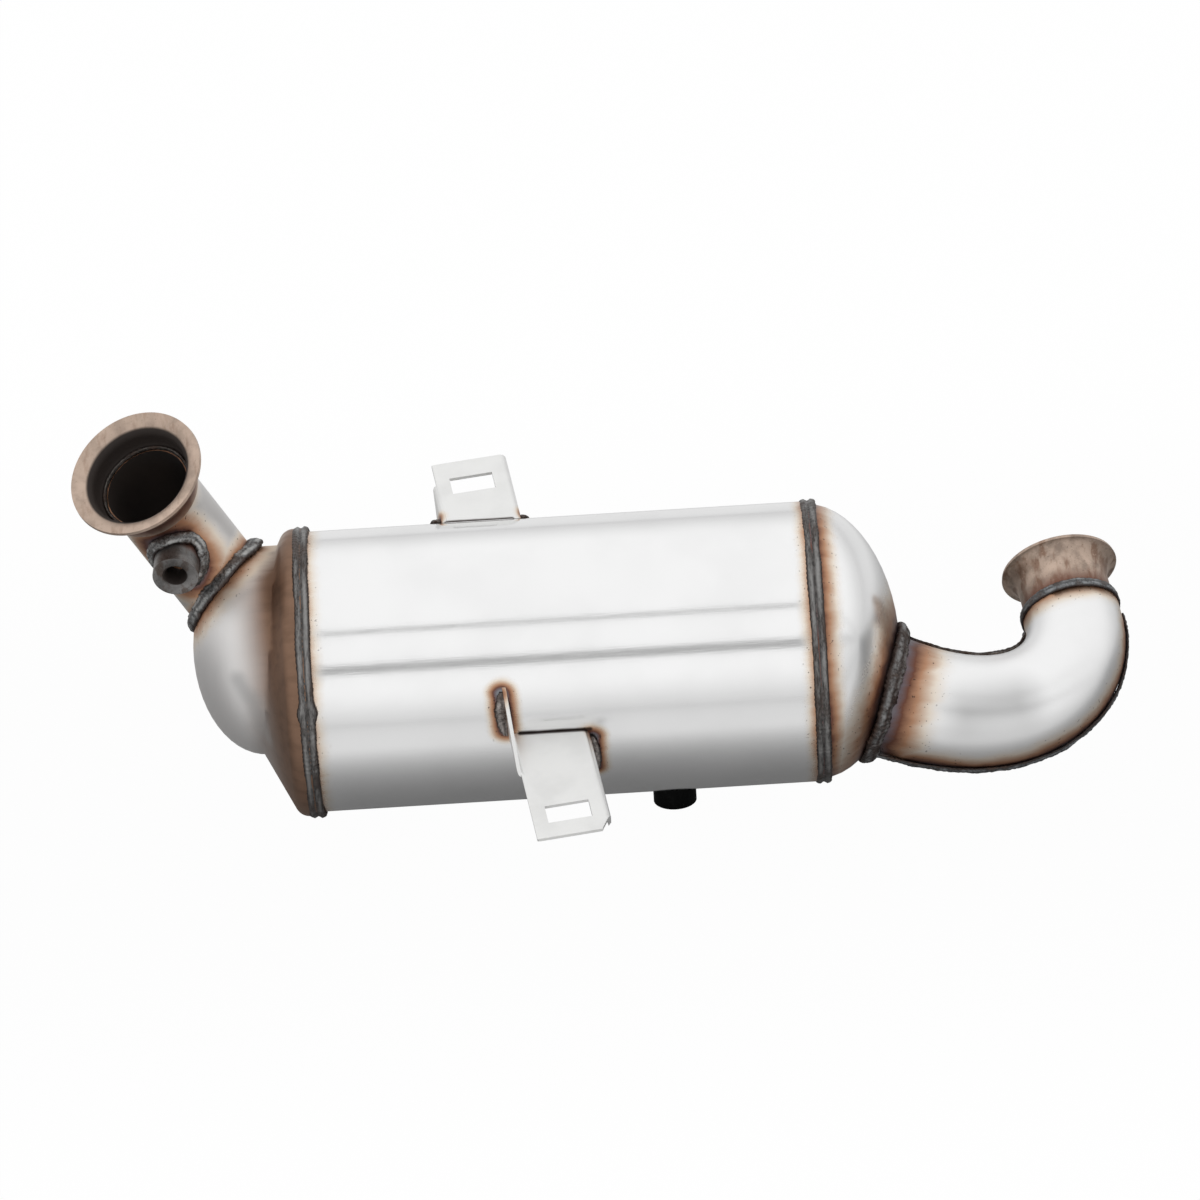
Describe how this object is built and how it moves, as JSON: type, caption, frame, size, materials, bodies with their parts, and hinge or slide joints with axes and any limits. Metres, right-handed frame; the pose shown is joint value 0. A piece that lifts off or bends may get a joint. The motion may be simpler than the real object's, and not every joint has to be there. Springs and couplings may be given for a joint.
{
  "type": "diesel particulate filter",
  "caption": "Welded stainless exhaust canister with a domed inlet cap and stamped elbow, an eccentric outlet cap with a bent pipe and sensor boss, flared clamp flanges and slotted brackets.",
  "frame": {"origin": "on the axis of the inlet flange, in the middle of its straight throat", "axes": "+X along the canister axis, from the outlet end to the inlet end; +Z square to the two bracket plates, out of their upper faces; +Y across the canister, from the front bracket to the rear one"},
  "size_m": [0.5775, 0.2608, 0.225],
  "materials": {
    "bright_stainless": "bright rolled sheet, straw and brown heat tint beside the welds",
    "tinted_stainless": "bright pressed sheet, straw to violet heat tint beside the welds",
    "bronzed_stainless": "pressed sheet, bronze heat tint on the collar",
    "oxidised_stainless": "tan oxide with brown streaks",
    "turned_steel": "turned, dulled by welding",
    "weld_metal": "rippled weld bead, dark blue-grey scale",
    "bracket_sheet": "pale matt folded sheet",
    "black_cap": "matt black push-on cap",
    "coated_ceramic": "coated catalyst substrate",
    "filter_ceramic": "porous filter substrate",
    "fibre_mat": "compressed ceramic fibre"
  },
  "bodies": {
    "root": {"canister_shell": "bright_stainless", "catalyst_brick": "coated_ceramic", "catalyst_mat": "fibre_mat", "filter_brick": "filter_ceramic", "filter_mat": "fibre_mat", "inlet_cone": "tinted_stainless", "inlet_girth_weld": "weld_metal", "elbow_upper_half": "tinted_stainless", "elbow_lower_half": "tinted_stainless", "elbow_outer_seam_weld": "weld_metal", "elbow_inner_seam_weld": "weld_metal", "elbow_port_weld": "weld_metal", "inlet_flange": "oxidised_stainless", "inlet_flange_weld": "weld_metal", "outlet_cone": "bronzed_stainless", "outlet_girth_weld": "weld_metal", "outlet_pipe": "tinted_stainless", "outlet_pipe_weld": "weld_metal", "outlet_flange": "oxidised_stainless", "outlet_flange_weld": "weld_metal", "sensor_boss": "turned_steel", "sensor_boss_weld": "weld_metal", "tap_boss": "turned_steel", "tap_boss_weld": "weld_metal", "tap_cap": "black_cap", "front_bracket": "bracket_sheet", "front_bracket_welds": "weld_metal", "rear_bracket": "bracket_sheet", "rear_bracket_welds": "weld_metal"}
  },
  "joints": []
}
